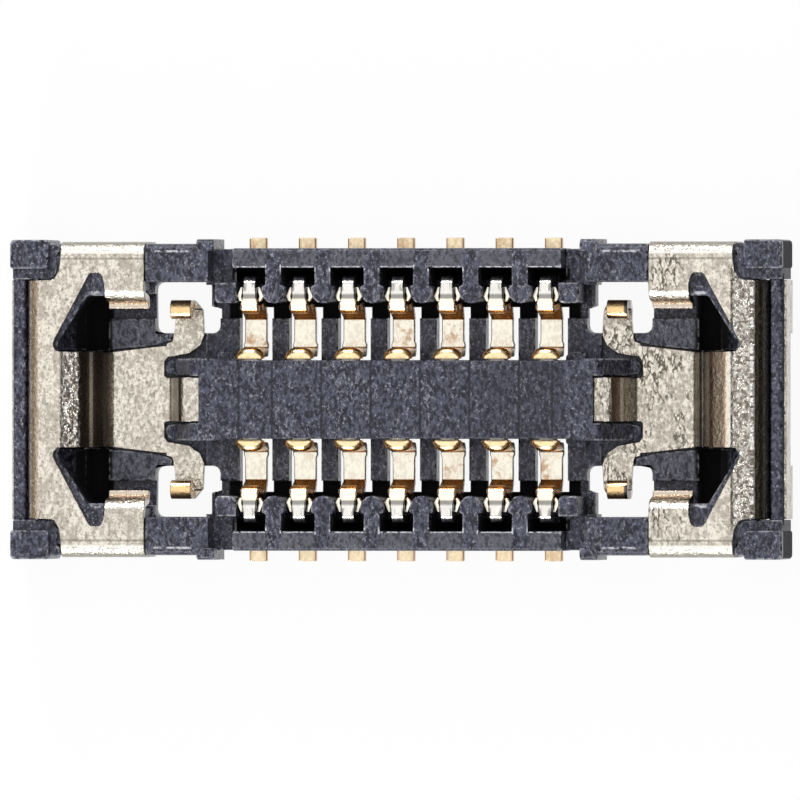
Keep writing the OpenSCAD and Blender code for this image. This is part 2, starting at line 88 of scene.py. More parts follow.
Range = tuple[float, float]
Triple = tuple[float, float, float]
Colour = tuple[float, float, float, float]
Socket = bpy.types.NodeSocket
Value = Socket | float
Tree = bpy.types.NodeTree
Material = bpy.types.Material
Piece = bpy.types.Object
Face = bpy.types.MeshPolygon


class Row(Enum):
    """The two rows of contacts, with the side of the middle plane that each lies on."""

    A = 1
    B = -1


class End(Enum):
    """The two ends of the receptacle, with the direction that each points to."""

    LEFT = -1
    RIGHT = 1


# Node trees


class Graph:
    """A node tree with short calls for adding and joining nodes."""

    def __init__(self, tree: Tree) -> None:
        """Keeps the tree that the calls work on."""
        self.tree = tree

    def add(self, kind: str, settings: dict | None = None, inputs: dict | None = None) -> bpy.types.Node:
        """Adds a node.

        Args:
            kind: The node's type name, without the words that all of them start with.
            settings: Properties to set on the node.
            inputs: Values or other nodes' outputs, by socket name or index.

        Returns:
            The new node.
        """
        node = self.tree.nodes.new("ShaderNode" + kind)
        for name, value in (settings or {}).items():
            setattr(node, name, value)
        for key, value in (inputs or {}).items():
            if isinstance(value, Socket):
                self.tree.links.new(value, node.inputs[key])
            else:
                node.inputs[key].default_value = value
        return node

    def math(self, operation: str, a: Value, b: Value = 0.0, c: Value = 0.0) -> Socket:
        """Adds a Math node and returns its output."""
        return self.add("Math", {"operation": operation}, {0: a, 1: b, 2: c}).outputs[0]

    def product(self, *masks: Value) -> Socket:
        """Multiplies masks with each other."""
        return reduce(lambda a, b: self.math("MULTIPLY", a, b), masks)

    def maximum(self, *masks: Value) -> Socket:
        """Returns the largest of some masks."""
        return reduce(lambda a, b: self.math("MAXIMUM", a, b), masks)

    def inverse(self, mask: Value) -> Socket:
        """Returns 1 where a mask is 0, and 0 where it is 1."""
        return self.math("SUBTRACT", 1.0, mask)

    def blend(self, factor: Value, a: Socket | Colour, b: Socket | Colour, kind: str = "MIX") -> Socket:
        """Mixes two colours and returns the result."""
        settings = {"data_type": "RGBA", "blend_type": kind}
        return self.add("Mix", settings, {0: factor, 6: a, 7: b}).outputs[2]

    def ramp(self, value: Value, low: float, high: float, first: float = 0.0, last: float = 1.0) -> Socket:
        """Maps a value smoothly from the range low to high to the range first to last."""
        settings = {"interpolation_type": "SMOOTHSTEP", "clamp": True}
        return self.add("MapRange", settings, {0: value, 1: low, 2: high, 3: first, 4: last}).outputs[0]

    def mapped(self, place: Socket, scale: Triple, turn: float = 0.0) -> Socket:
        """Scales a place, turns it about Z and returns the result."""
        inputs = {"Vector": place, "Scale": scale, "Rotation": (0.0, 0.0, turn)}
        return self.add("Mapping", {}, inputs).outputs[0]

    def noise(self, place: Socket, scale: Value, detail: float = 2.0, roughness: float = 0.6) -> Socket:
        """Adds a Noise texture and returns its value."""
        inputs = {"Vector": place, "Scale": scale, "Detail": detail, "Roughness": roughness}
        return self.add("TexNoise", {}, inputs).outputs[0]


class Group(Graph):
    """A shader node group under construction."""

    def __init__(self, name: str, inputs: dict[str, str], outputs: tuple[str, ...]) -> None:
        """Makes the group.

        Args:
            name: The group's name.
            inputs: The type of each input, Float or Vector.
            outputs: The names of the outputs, which are all values.
        """
        super().__init__(bpy.data.node_groups.new(name, "ShaderNodeTree"))
        for key, kind in inputs.items():
            self.tree.interface.new_socket(key, in_out="INPUT", socket_type="NodeSocket" + kind)
        for key in outputs:
            self.tree.interface.new_socket(key, in_out="OUTPUT", socket_type="NodeSocketFloat")
        self.source = self.tree.nodes.new("NodeGroupInput").outputs
        self.sink = self.tree.nodes.new("NodeGroupOutput").inputs

    def grained(self, place: Socket, scale: float, detail: float = 2.0, roughness: float = 0.6) -> Socket:
        """Adds a Noise texture whose scale follows the group's Grain input."""
        return self.noise(place, self.math("MULTIPLY", self.source["Grain"], scale), detail, roughness)

    def mixture(self, a: Socket, b: Socket, share_a: float, share_b: float) -> Socket:
        """Adds two values by their shares."""
        return self.math("ADD", self.math("MULTIPLY", a, share_a), self.math("MULTIPLY", b, share_b))

    def winding(self, noise: Socket, thin: float, wide: float) -> Socket:
        """Returns a mask of thin lines, which run where a noise has its middle value."""
        return self.ramp(self.math("ABSOLUTE", self.math("SUBTRACT", noise, 0.5)), thin, wide, 1.0, 0.0)

    def put_out(self, values: dict[str, Socket]) -> Tree:
        """Joins the outputs to their values and returns the finished group."""
        for key, value in values.items():
            self.tree.links.new(value, self.sink[key])
        return self.tree


def fibre_mottle_group() -> Tree:
    """Makes the mottle of a glass-filled moulding: cloudy patches with small fibre flecks.

    Returns:
        The node group, with the outputs Mottle, Fleck and Height.
    """
    g = Group("fibre_mottle", {"Place": "Vector", "Grain": "Float"}, ("Mottle", "Fleck", "Height"))
    place = g.source["Place"]
    turned = g.mapped(place, (1.0, 0.6, 1.0), 0.6)
    patches = g.grained(turned, 14.0)
    fine = g.grained(turned, 36.0, 3.0, 0.7)
    speck = g.grained(place, 52.0)
    clouds = g.grained(turned, 4.0, roughness=0.5)
    # Fibres show as thin winding lines in some places only
    fibres = g.winding(g.grained(turned, 12.0, 3.0), 0.002, 0.02)
    fibres = g.product(fibres, g.ramp(clouds, 0.48, 0.6), g.ramp(fine, 0.42, 0.56))
    specks = g.product(g.ramp(speck, 0.55, 0.68), g.ramp(fine, 0.46, 0.58))
    return g.put_out(
        {
            "Mottle": g.ramp(g.mixture(patches, fine, 0.33, 0.67), 0.4, 0.6),
            "Fleck": g.maximum(fibres, specks),
            "Height": g.mixture(fine, speck, 1.0, 0.5),
        }
    )


def rolled_grain_group() -> Tree:
    """Makes the pebbled grain of rolled and plated sheet.

    Returns:
        The node group, with the outputs Shade, Speck, Crack and Height.
    """
    outputs = ("Shade", "Speck", "Crack", "Height")
    g = Group("rolled_grain", {"Place": "Vector", "Grain": "Float"}, outputs)
    place = g.source["Place"]
    along = g.mapped(place, (1.0, 0.62, 1.0))
    pebbles = g.grained(along, 36.0, 3.0, 0.66)
    specks = g.grained(place, 46.0)
    clouds = g.grained(along, 8.0, roughness=0.5)
    cracks = g.winding(g.grained(g.mapped(place, (1.0, 0.42, 1.0), 0.15), 19.0), 0.008, 0.055)
    return g.put_out(
        {
            "Shade": g.ramp(g.mixture(pebbles, clouds, 0.7, 0.3), 0.41, 0.59),
            "Speck": g.ramp(specks, 0.5, 0.7),
            "Crack": g.product(cracks, g.ramp(clouds, 0.4, 0.56)),
            "Height": g.mixture(pebbles, specks, 1.0, 0.6),
        }
    )


def zone_group() -> Tree:
    """Makes a soft-edged mask that is 1 where a value lies between two limits.

    Returns:
        The node group, with the output Mask.
    """
    g = Group("zone", dict.fromkeys(("Value", "Low", "High", "Soft"), "Float"), ("Mask",))
    half = g.math("MULTIPLY", g.source["Soft"], 0.5)
    rise, fall = (
        g.ramp(g.source["Value"], g.math("SUBTRACT", limit, half), g.math("ADD", limit, half))
        for limit in (g.source["Low"], g.source["High"])
    )
    return g.put_out({"Mask": g.math("MULTIPLY", rise, g.inverse(fall))})


class Effects:
    """The shader node groups that the finishes share, each made once."""

    def __init__(self) -> None:
        """Makes the groups."""
        self.mottle = fibre_mottle_group()
        self.grain = rolled_grain_group()
        self.zone = zone_group()


@dataclass(frozen=True)
class Zone:
    """A stretch between two limits, in millimetres, with soft edges."""

    low: float
    high: float
    soft: float = 0.02


def below(high: float, soft: float = 0.02) -> Zone:
    """Returns the zone below a limit."""
    return Zone(-FAR, high, soft)


def above(low: float, soft: float = 0.02) -> Zone:
    """Returns the zone above a limit."""
    return Zone(low, FAR, soft)


@dataclass(frozen=True)
class Area:
    """A soft-edged part of a piece, with the strength of what is painted there.

    Reach is the distance from the middle along the rows, side the distance from the middle plane across them,
    and across the distance along a row from the middle of the nearest contact.
    """

    reach: Zone | None = None
    side: Zone | None = None
    height: Zone | None = None
    end: End | None = None
    strength: float = 1.0
    across: Zone | None = None


Layers = tuple[tuple[Colour, Area], ...]


class Skin(Graph):
    """A material that is painted in layers on a Principled shader, by its place in millimetres."""

    def __init__(self, name: str, effects: Effects) -> None:
        """Makes the material.

        Args:
            name: The material's name.
            effects: The shared groups.
        """
        self.material = bpy.data.materials.new(name)
        self.material.use_nodes = True
        super().__init__(self.material.node_tree)
        self.tree.nodes.clear()
        self.effects = effects
        self.shader = self.add("BsdfPrincipled")
        self.add("OutputMaterial", {}, {"Surface": self.shader.outputs[0]})
        self.place = self.mapped(self.add("TexCoord").outputs["Object"], (1 / MM, 1 / MM, 1 / MM))
        self.x, y, self.z = self.add("SeparateXYZ", {}, {0: self.place}).outputs
        self.reach, self.side = self.math("ABSOLUTE", self.x), self.math("ABSOLUTE", y)
        self.across = self.wrapped(self.x)
        self.base: Socket | None = None

    def texture(self, group: Tree, grain: float) -> bpy.types.bpy_prop_collection:
        """Places a shared texture and returns its outputs."""
        return self.add("Group", {"node_tree": group}, {"Place": self.place, "Grain": grain}).outputs

    def wrapped(self, value: Socket) -> Socket:
        """Returns the distance from the nearest multiple of the contacts' spacing."""
        return self.math("ABSOLUTE", self.math("WRAP", value, PITCH / 2, -PITCH / 2))

    def mask(self, value: Socket, zone: Zone) -> Socket:
        """Returns a mask that is 1 where a value lies in a zone."""
        inputs = {"Value": value, "Low": zone.low, "High": zone.high, "Soft": zone.soft}
        return self.add("Group", {"node_tree": self.effects.zone}, inputs).outputs["Mask"]

    def area(self, area: Area) -> Socket:
        """Returns a mask that has an area's strength in the area, and is 0 elsewhere."""
        values = (self.reach, self.side, self.z, self.across)
        zones = (area.reach, area.side, area.height, area.across)
        masks = [self.mask(value, zone) for value, zone in zip(values, zones) if zone]
        if area.end:
            masks.append(self.ramp(self.x, -END_SOFT * area.end.value, END_SOFT * area.end.value))
        return self.product(*masks, area.strength)

    def areas(self, *areas: Area) -> Socket:
        """Returns a mask of several areas."""
        return self.maximum(*(self.area(area) for area in areas))

    def coat(self, colour: Colour, *masks: Value) -> None:
        """Lays a colour over the base where all masks are 1."""
        self.base = self.blend(self.product(*masks), self.base, colour)

    def paint(self, layers: Layers, *masks: Value) -> None:
        """Lays colours over the base, each in its area and where all masks are 1."""
        for colour, area in layers:
            self.coat(colour, *masks, self.area(area))

    def finish(self, rough: Socket, height: Socket, strength: float, depth: float) -> Material:
        """Joins the base colour, roughness and bump to the shader.

        Args:
            rough: The roughness.
            height: The height that the bump follows.
            strength: The bump's strength.
            depth: The bump's depth, in millimetres.

        Returns:
            The finished material.
        """
        bump = {"Height": height, "Strength": strength, "Distance": depth * MM}
        normal = self.add("Bump", {}, bump).outputs[0]
        for key, value in (("Base Color", self.base), ("Roughness", rough), ("Normal", normal)):
            self.tree.links.new(value, self.shader.inputs[key])
        return self.material


# Finishes


@dataclass(frozen=True)
class MouldedPlastic:
    """Dark glass-filled plastic with a mottled skin and pale fibre flecks."""

    name: str = "moulded_plastic"
    dark: Colour = (0.010, 0.011, 0.020, 1.0)
    light: Colour = (0.080, 0.083, 0.122, 1.0)
    land: Colour = (0.11, 0.11, 0.13, 1.0)
    fleck: Colour = (0.38, 0.38, 0.43, 1.0)
    glint_paint: Colour = (0.85, 0.85, 0.9, 1.0)
    black: Colour = (0.003, 0.003, 0.004, 1.0)
    roughness: Range = (0.17, 0.36)
    edge_shine: Range = (0.3, 0.7)
    gloss: float = 0.3
    grain: float = 1.2
    bump: float = 0.9
    bump_depth: float = 0.006
    island: Area = Area(below(1.2, 0.01), below(0.28, 0.01), above(0.52, 0.04))
    witness_half: Zone = below(0.008, 0.008)
    end_witness: Zone = Zone(1.105, 1.119, 0.008)
    low_floor: Area = Area(Zone(1.72, 2.08), Zone(0.3, 0.58), below(0.35, 0.1), strength=0.5)
    rim: Area = Area(below(1.2), Zone(0.94, 1.05), above(0.42, 0.04), across=below(0.124))
    pocket: Area = Area(below(1.2, 0.01), Zone(0.84, 0.926, 0.012), below(0.435, 0.07))
    hollow: Area = Area(Zone(2.07, 2.32, 0.03), Zone(0.3, 0.8), below(0.45, 0.1))
    trench: Area = Area(below(1.25), Zone(0.574, 0.69, 0.01), below(0.36, 0.08))
    end_face: Area = Area(above(2.728, 0.012), None, below(0.545, 0.05), strength=0.8)
    rib_edge: Area = Area(below(1.25), Zone(0.655, 0.69, 0.004), above(0.515, 0.03))
    pocket_edge: Area = Area(below(1.25), Zone(0.9, 0.946, 0.004), above(0.515, 0.03))
    lip: Area = Area(below(1.2), Zone(0.924, 0.936, 0.005), above(0.527, 0.01), across=below(0.118, 0.01))
    top: Area = Area(below(1.2), None, above(0.527, 0.01))
    rib_bow: float = 5.0
    rib_tip: Zone = Zone(0.659, 0.672, 0.006)
    rib_half: Zone = below(0.058, 0.016)
    mouth: Area = Area(Zone(2.11, 2.19, 0.03), Zone(0.74, 0.76, 0.01), above(0.43, 0.06), strength=0.7)
    ridge: Area = Area(Zone(1.46, 1.72, 0.03), Zone(1.036, 1.05, 0.008), above(0.52, 0.04), strength=0.7)

    def make(self, effects: Effects) -> Material:
        """Makes the material.

        Args:
            effects: The shared groups.

        Returns:
            The material.
        """
        s = Skin(self.name, effects)
        mottle = s.texture(effects.mottle, self.grain)
        between = s.wrapped(s.math("ADD", s.x, PITCH / 2))
        s.base = s.blend(mottle["Mottle"], self.dark, self.light)
        s.coat(self.fleck, mottle["Fleck"], 0.8)
        # Faint witness lines cross the island halfway between the contacts
        island = s.area(self.island)
        lines = s.maximum(s.mask(between, self.witness_half), s.mask(s.reach, self.end_witness))
        s.coat(self.dark, lines, island, 0.9)
        # Painted shade darkens the island towards the right
        s.coat(self.dark, island, s.ramp(s.x, 0.1, 1.0), 0.42)
        # The low floor beside the plates is paler, and so is the rim behind each pocket
        s.coat(self.land, s.area(self.low_floor), mottle["Mottle"])
        s.coat(self.land, s.area(self.rim), s.ramp(mottle["Mottle"], 0.0, 1.0, 0.25, 0.75))
        # Painted shade, nearly black and matt, fills the deep places and the outer end faces
        deep = s.areas(self.pocket, self.hollow, self.trench, self.end_face)
        s.coat(self.black, deep)
        # Painted highlights in short dashes on the rounded edges
        s.coat(self.glint_paint, self.painted_glints(s, between))
        s.shader.inputs["Specular IOR Level"].default_value = self.gloss
        rough = s.maximum(s.ramp(mottle["Mottle"], 0.0, 1.0, *self.roughness), deep)
        return s.finish(rough, mottle["Height"], self.bump, self.bump_depth)

    def painted_glints(self, s: Skin, between: Socket) -> Socket:
        """Finds the edges that get a painted highlight in short dashes.

        Args:
            s: The material.
            between: The distance along the row from the nearest place halfway between two contacts.

        Returns:
            A mask of painted highlights, strongest at the rim's lip over each pocket and at the round tips of
            the ribs.
        """
        marked = s.product(s.areas(self.rib_edge, self.pocket_edge), self.edge_shine[1])
        dashes = s.ramp(s.noise(s.place, 26.0), 0.44, 0.58)
        edges = s.add("Attribute", {"attribute_name": "worn"}).outputs["Fac"]
        worn = s.product(edges, dashes, s.math("ADD", self.edge_shine[0], marked))
        bow = s.math("SUBTRACT", s.side, s.product(between, between, self.rib_bow))
        tip = s.product(s.mask(bow, self.rib_tip), s.mask(between, self.rib_half), s.area(self.top))
        most = s.maximum(tip, s.areas(self.lip, self.mouth, self.ridge))
        return s.maximum(worn, s.product(most, s.ramp(s.noise(s.place, 30.0), 0.4, 0.56), 0.9))


@dataclass(frozen=True)
class ShellSheet:
    """Drawn nickel-plated sheet: pale and rolled, with painted shade and painted highlights on its bends and
    slopes.

    The layers of the slope, the top and the tab differ from left to right, in grain and in painted light and
    shade.
    """

    name: str = "shell_sheet"
    pale: Colour = (0.74, 0.69, 0.60, 1.0)
    dull: Colour = (0.44, 0.40, 0.34, 1.0)
    pit_and_shade: Colour = (0.12, 0.1, 0.08, 1.0)
    painted_highlight: Colour = (0.92, 0.89, 0.83, 1.0)
    shaded: Colour = (0.34, 0.32, 0.28, 1.0)
    painted_shade: Colour = (0.13, 0.1, 0.08, 1.0)
    slope_shade: Colour = (0.035, 0.027, 0.022, 1.0)
    umber_shade: Colour = (0.29, 0.215, 0.155, 1.0)
    copper_reflection: Colour = (0.55, 0.33, 0.18, 1.0)
    gold: Colour = (0.86, 0.60, 0.30, 1.0)
    bronze_shade: Colour = (0.36, 0.23, 0.12, 1.0)
    gap_shadow: Colour = (0.02, 0.017, 0.015, 1.0)
    roughness: Range = (0.34, 0.2)
    grain: float = 1.0
    bump: float = 0.85
    bump_depth: float = 0.008
    plate: Area = Area(below(2.05, 0.1))
    drop: Area = Area(None, below(0.8), Zone(0.1, 0.53))
    slope: Layers = (
        (painted_shade, Area(Zone(2.09, 2.262), strength=0.9)),
        (slope_shade, Area(Zone(2.08, 2.262), end=End.LEFT, strength=0.6)),
        (slope_shade, Area(Zone(2.08, 2.175, 0.012), end=End.RIGHT, strength=0.45)),
        (painted_highlight, Area(Zone(2.176, 2.194, 0.008), end=End.LEFT, strength=0.8)),
        (painted_highlight, Area(Zone(2.14, 2.152, 0.006), end=End.RIGHT, strength=0.8)),
    )
    brown_band: Area = Area(Zone(2.19, 2.33, 0.012), below(0.46, 0.04), None, End.RIGHT)
    slope_head: Layers = (
        (copper_reflection, Area(Zone(2.322, 2.334, 0.006), below(0.46, 0.04), None, End.RIGHT, 0.8)),
        (pale, Area(Zone(2.338, 2.386, 0.012), below(0.46, 0.04), None, End.RIGHT, 0.7)),
        (bronze_shade, Area(Zone(2.545, 2.598), below(0.95, 0.05), strength=0.6)),
    )
    left_bend: Area = Area(Zone(2.255, 2.37, 0.03), below(0.46, 0.04), above(0.35, 0.1), End.LEFT)
    right_top: Area = Area(Zone(2.39, 2.504), below(0.9, 0.06), above(0.35, 0.1), End.RIGHT, 0.75)
    bead_row: Area = Area(Zone(2.506, 2.536, 0.01), below(0.9, 0.06), None, End.RIGHT)
    right_gap: Area = Area(Zone(2.542, 2.62, 0.01), below(0.95, 0.05), None, End.RIGHT, 0.9)
    flange: Layers = (
        (shaded, Area(Zone(1.76, 2.5, 0.04), Zone(1.054, 1.2, 0.012), strength=0.75)),
        (painted_highlight, Area(Zone(1.76, 2.5, 0.04), Zone(1.026, 1.05, 0.012), strength=0.8)),
        (pit_and_shade, Area(Zone(1.76, 2.5, 0.04), Zone(0.984, 0.999, 0.01), strength=0.5)),
        (painted_highlight, Area(Zone(1.72, 2.12), Zone(0.71, 0.765), strength=0.4)),
        (bronze_shade, Area(Zone(1.72, 2.12), Zone(0.59, 0.705, 0.015), strength=0.9)),
        (painted_highlight, Area(Zone(1.72, 2.12), Zone(0.64, 0.672, 0.015), strength=0.4)),
    )
    finger: Area = Area(Zone(1.30, 1.66, 0.01), Zone(0.52, 0.80, 0.03), above(0.26, 0.08))
    curls: tuple[Zone, Zone] = (Zone(0.668, 0.72), Zone(0.565, 0.6))
    flanks: tuple[Area, Area] = (
        Area(Zone(1.38, 1.447, 0.012), Zone(0.6, 0.74), above(0.26, 0.08), End.LEFT),
        Area(Zone(1.6, 1.66, 0.012), Zone(0.6, 0.74), above(0.26, 0.08), End.RIGHT),
    )
    tab: Layers = (
        (bronze_shade, Area(Zone(1.525, 1.598), below(0.17, 0.01), strength=0.75)),
        (painted_shade, Area(Zone(1.53, 1.62), below(0.17, 0.01), None, End.LEFT, 0.88)),
        (painted_shade, Area(Zone(1.52, 1.574, 0.01), below(0.17, 0.01), None, End.RIGHT, 0.6)),
        (painted_highlight, Area(Zone(1.574, 1.59, 0.006), below(0.17, 0.01), None, End.RIGHT, 0.8)),
    )
    left_stretch: Area = Area(Zone(2.25, 2.37, 0.05), below(0.46, 0.05), above(0.35, 0.1), End.LEFT, 5.0)
    right_stretch: Area = Area(Zone(2.38, 2.54, 0.03), below(0.93, 0.1), above(0.35, 0.1), End.RIGHT, 3.0)

    def make(self, effects: Effects) -> Material:
        """Makes the material.

        Args:
            effects: The shared groups.

        Returns:
            The material.
        """
        s = Skin(self.name, effects)
        grain = s.texture(effects.grain, self.grain)
        s.base = s.blend(grain["Shade"], self.dull, self.pale)
        s.coat(self.pit_and_shade, grain["Speck"], 0.5)
        # The floor plate is cracked like leather, most of all on the right
        s.coat(self.pit_and_shade, grain["Crack"], s.area(self.plate), s.ramp(s.x, -END_SOFT, END_SOFT, 0.3, 1.0))
        # Painted shade darkens the steep slope, with a painted highlight on its crease
        s.paint(self.slope, s.area(self.drop))
        # On the right brown painted shade, an orange painted reflection line and a pale painted highlight
        s.coat(self.umber_shade, s.area(self.brown_band), s.ramp(grain["Shade"], 0.0, 1.0, 0.95, 0.75))
        # and at both ends brown painted shade on the outer bend
        s.paint(self.slope_head)
        # Where the top was stretched, painted glints and painted shade in a noise pattern stand for its
        # sparkle
        bend = s.areas(self.left_bend, self.right_top)
        glint_spots = s.ramp(s.noise(s.place, 38.0), 0.44, 0.54)
        s.coat(self.painted_highlight, bend, glint_spots, 0.8)
        s.coat(self.painted_shade, bend, s.inverse(glint_spots), 0.75)
        # On the right a row of painted glints on painted shade ends the crinkled top, and painted shadow
        # fills the gap
        bead_glints = s.ramp(s.noise(s.mapped(s.place, (0.1, 1.0, 0.1)), 34.0, 1.0, 0.5), 0.42, 0.52)
        row = s.area(self.bead_row)
        s.coat(self.painted_shade, row, 0.7)
        s.coat(self.painted_highlight, row, bead_glints)
        s.coat(self.gap_shadow, s.area(self.right_gap))
        # Painted highlights and lines of painted shade along the flange's bends, its steep side and its lip
        s.paint(self.flange)
        # The curled fingers are gold, with painted shade in their curl and on one flank
        finger = s.area(self.finger)
        s.coat(self.gold, finger)
        s.coat(self.bronze_shade, finger, s.maximum(*(s.mask(s.side, curl) for curl in self.curls)), 0.8)
        s.coat(self.pit_and_shade, s.areas(*self.flanks))
        # Painted shade on the tab's steep part, with a painted highlight line on the right
        s.paint(self.tab)
        s.shader.inputs["Metallic"].default_value = 1.0
        # Stretched sheet is rougher, and the fingers are smoother than the rest
        rise = s.math("ADD", 1.0, s.areas(self.left_stretch, self.right_stretch))
        height = s.product(grain["Height"], rise, s.inverse(s.math("MULTIPLY", finger, 0.8)))
        rough = s.ramp(grain["Shade"], 0.0, 1.0, *self.roughness)
        return s.finish(rough, height, self.bump, self.bump_depth)


@dataclass(frozen=True)
class ContactPlating:
    """Plated contact sheet: bare nickel on the loop, gold on the springs, pale gold on the floor strip."""

    name: str = "contact_plating"
    nickel: Colour = (0.80, 0.78, 0.74, 1.0)
    streak_shade: Colour = (0.26, 0.25, 0.23, 1.0)
    pale: Colour = (0.82, 0.77, 0.66, 1.0)
    gold: Colour = (0.96, 0.76, 0.45, 1.0)
    painted_highlight: Colour = (1.0, 0.94, 0.80, 1.0)
    orange_shade: Colour = (1.0, 0.56, 0.20, 1.0)
    brown: Colour = (0.40, 0.19, 0.06, 1.0)
    tail: Colour = (0.82, 0.68, 0.47, 1.0)
    black: Colour = (0.01, 0.007, 0.005, 1.0)
    tones: tuple[Colour, Colour] = ((0.93, 0.92, 0.9, 1.0), (1.0, 1.0, 1.0, 1.0))
    roughness: Range = (0.34, 0.2)
    grain: float = 1.3
    bump: float = 0.15
    bump_depth: float = 0.004
    strip: Area = Area(None, Zone(0.2, 0.6, 0.03), below(0.25, 0.1))
    loop: Area = Area(None, Zone(0.705, 1.0), above(0.25, 0.1))
    coined: Area = Area(None, Zone(0.765, 0.88), above(0.25, 0.1), None, 0.85, above(0.0175, 0.025))
    loop_to_nose: Layers = (
        (streak_shade, Area(None, Zone(0.76, 0.86), above(0.25, 0.1), None, 0.6, above(0.036, 0.016))),
        (streak_shade, Area(None, Zone(0.706, 0.742), above(0.42, 0.04), None, 0.9)),
        (painted_highlight, Area(None, Zone(0.6, 0.706), above(0.42, 0.04))),
    )
    flank: Area = Area(None, Zone(0.6, 0.71), above(0.42, 0.04), None, 0.7, above(0.053, 0.018))
    fold: Area = Area(None, Zone(0.5, 0.63, 0.015), above(0.38, 0.04))
    belly_and_barbs: Layers = (
        (brown, Area(None, Zone(0.562, 0.75, 0.012), Zone(0.1, 0.425, 0.03))),
        (painted_highlight, Area(None, Zone(0.66, 0.81), above(0.42, 0.04), None, 0.9, above(0.061, 0.006))),
    )
    stain: Area = Area(None, Zone(0.38, 0.58), below(0.25, 0.1), strength=0.7)
    head: Area = Area(None, Zone(0.2, 0.45), above(0.35, 0.1))
    head_bow: float = 1280.0
    head_edge: Zone = Zone(0.352, 0.45, 0.016)
    outside: Area = Area(None, above(1.03))
    tail_shade_from: Zone = above(0.047, 0.022)
    under_wall: Area = Area(None, Zone(0.78, 1.04), below(0.25, 0.1))

    def make(self, effects: Effects) -> Material:
        """Makes the material.

        Args:
            effects: The shared groups.

        Returns:
            The material.
        """
        s = Skin(self.name, effects)
        grain = s.texture(effects.grain, self.grain)
        s.base = s.blend(s.area(self.strip), self.gold, self.pale)
        # Loop: bare nickel, with painted shade in streaks, on its sides and in the groove before the nose,
        # which gets a painted highlight
        shade_streaks = s.ramp(s.noise(s.mapped(s.place, (1.0, 0.16, 0.16)), 52.0, roughness=0.5), 0.5, 0.6)
        s.coat(self.nickel, s.area(self.loop))
        s.coat(self.streak_shade, shade_streaks, s.area(self.coined))
        s.paint(self.loop_to_nose)
        # Painted shade turns the nose orange and then brown where it folds down, and the barbs get a painted
        # highlight
        s.coat(self.orange_shade, s.areas(self.flank, self.fold))
        s.paint(self.belly_and_barbs)
        # A few strips are stained
        spots = s.ramp(s.noise(s.place, 9.0, 3.0, 0.7), 0.5, 0.66)
        s.coat(self.brown, spots, s.ramp(s.noise(s.place, 1.6, 1.0), 0.58, 0.64), s.area(self.stain))
        # Head: orange painted shade on the dome's outer edge
        bow = s.math("ADD", s.side, s.product(s.math("POWER", s.across, 4.0), self.head_bow))
        s.coat(self.orange_shade, s.mask(bow, self.head_edge), s.area(self.head))
        # The tail is pale outside the wall, with painted shade on its sides and brown spots, and painted
        # shade makes it nearly black and not metallic under the wall
        outside = s.area(self.outside)
        s.coat(self.tail, outside)
        tail_shade_and_spots = s.maximum(s.mask(s.across, self.tail_shade_from), s.product(spots, 0.7))
        s.coat(self.brown, tail_shade_and_spots, outside, 0.55)
        under = s.area(self.under_wall)
        s.coat(self.black, under)
        s.base = s.blend(1.0, s.base, s.blend(grain["Shade"], *self.tones), "MULTIPLY")
        s.tree.links.new(s.inverse(under), s.shader.inputs["Metallic"])
        rough = s.maximum(s.ramp(grain["Shade"], 0.0, 1.0, *self.roughness), under)
        return s.finish(rough, grain["Height"], self.bump, self.bump_depth)


# Mesh tools


def switch(mode: str) -> None:
    """Switches to EDIT or OBJECT mode."""
    bpy.ops.object.mode_set(mode=mode)


def deselect() -> None:
    """Deselects every object."""
    bpy.ops.object.select_all(action="DESELECT")


def pick(piece: Piece) -> None:
    """Makes a piece the only selected and active object."""
    if bpy.context.mode != "OBJECT":
        switch("OBJECT")
    deselect()
    piece.select_set(True)
    bpy.context.view_layer.objects.active = piece


def select_where(piece: Piece, test: Callable[[Vector], bool]) -> None:
    """Selects the corners whose place passes a test, for the next operator in edit mode.

    Args:
        piece: The mesh object.
        test: Says whether a place is chosen.
    """
    pick(piece)
    switch("EDIT")
    bpy.ops.mesh.select_mode(type="VERT")
    bpy.ops.mesh.select_all(action="DESELECT")
    switch("OBJECT")
    for corner in piece.data.vertices:
        if test(corner.co):
            corner.select = True


def shift_where(piece: Piece, shift: Triple, test: Callable[[Vector], bool]) -> None:
    """Moves the corners whose place passes a test.

    Args:
        piece: The mesh object.
        shift: How far they move.
        test: Says whether a place is chosen.
    """
    select_where(piece, test)
    switch("EDIT")
    bpy.ops.transform.translate(value=shift)
    switch("OBJECT")


def to_metres(piece: Piece) -> None:
    """Brings a piece that was shaped in millimetres to metres, in its mesh."""
    pick(piece)
    piece.scale = (MM, MM, MM)
    bpy.ops.object.transform_apply(location=True, rotation=True, scale=True)


def with_modifier(piece: Piece, kind: str, settings: dict) -> None:
    """Adds a modifier with its settings and applies it.

    Args:
        piece: The mesh object.
        kind: The modifier's type.
        settings: Properties to set on it.
    """
    pick(piece)
    modifier = piece.modifiers.new(kind.lower(), kind)
    for name, value in settings.items():
        setattr(modifier, name, value)
    bpy.ops.object.modifier_apply(modifier=modifier.name)


def smooth(piece: Piece, angle: float) -> None:
    """Shades a piece smooth up to an angle in degrees, with the large faces kept flat."""
    pick(piece)
    bpy.ops.object.shade_smooth_by_angle(angle=math.radians(angle))
    with_modifier(piece, "WEIGHTED_NORMAL", {"keep_sharp": True})


def dress(piece: Piece, material: Material) -> None:
    """Gives a piece its only material."""
    piece.data.materials.clear()
    piece.data.materials.append(material)


